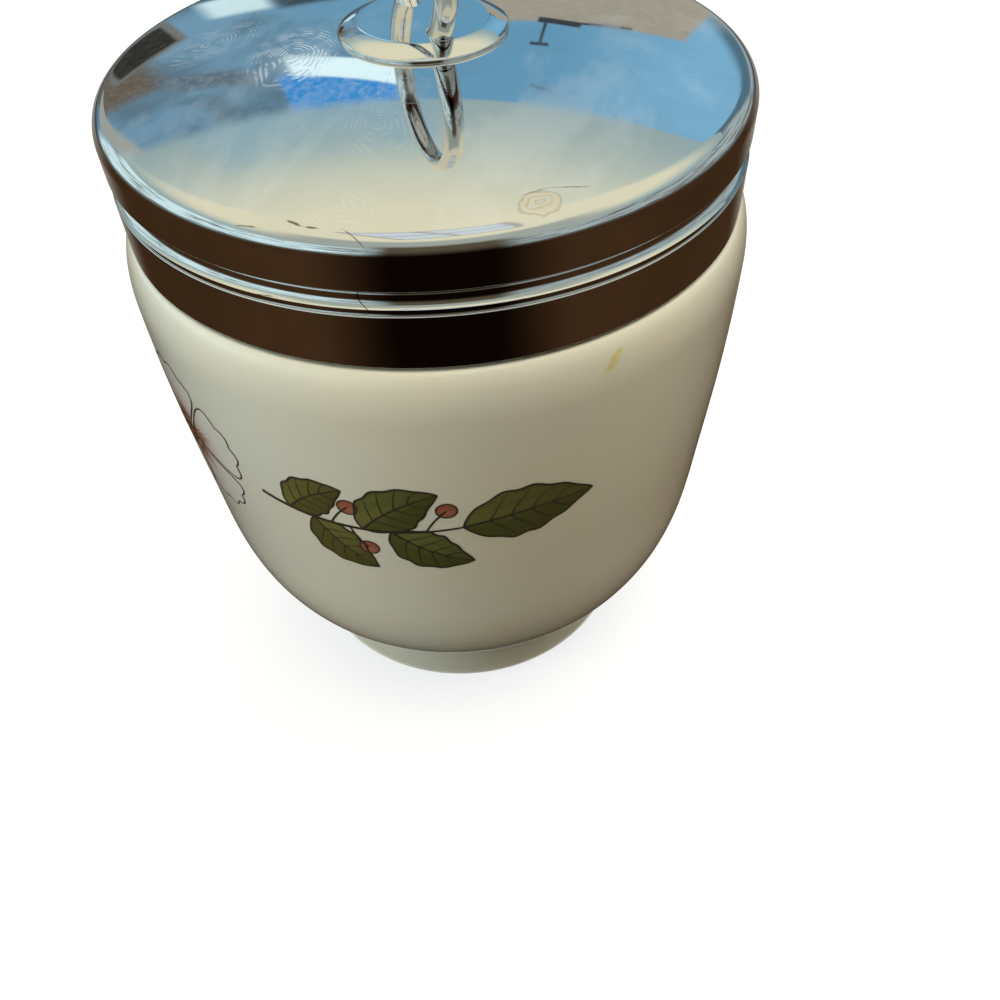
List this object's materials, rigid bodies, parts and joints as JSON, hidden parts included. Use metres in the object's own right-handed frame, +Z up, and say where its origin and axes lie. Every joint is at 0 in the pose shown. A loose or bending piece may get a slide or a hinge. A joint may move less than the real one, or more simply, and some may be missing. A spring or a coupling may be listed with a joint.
{
  "type": "egg coddler",
  "caption": "Lidded porcelain egg coddler: a round cup on a foot ring with a moulded screw neck, and a domed chromed screw lid with a rolled groove, a boss and a lifting ring.",
  "frame": {"origin": "middle of the face that the foot ring stands on", "axes": "+Z up along the turning axis; the lifting ring stands in the YZ plane, so that its eye opens along X"},
  "size_m": [0.0656, 0.0656, 0.0965],
  "materials": {
    "porcelain": "warm white glaze with a fired print",
    "chromed_lid": "polished chromium plate on pressed brass",
    "plated_collar": "dull plated",
    "seal_rubber": "soft, matt",
    "chromed_boss": "polished chromium plate",
    "chromed_ring": "polished chromium plate"
  },
  "bodies": {
    "cup": {"cup": "porcelain"},
    "seal": {"seal": "seal_rubber"},
    "lid": {"lid_shell": "chromed_lid", "threaded_collar": "plated_collar", "boss": "chromed_boss", "backing_washer": "plated_collar", "lifting_ring": "chromed_ring"}
  },
  "joints": [
    {"name": "lid_rise", "type": "slide", "parent": "cup", "child": "seal", "axis": [0, 0, 1], "range_m": [0, 0.016]},
    {"name": "lid_turn", "type": "hinge", "parent": "seal", "child": "lid", "pos_m": [0, 0, 0.0723], "axis": [0, 0, 1], "range_deg": [0, 1440]}
  ],
  "couplings": [
    {"joint": "lid_rise", "follows": "lid_turn", "m_per_rad": 0.00063662}
  ]
}
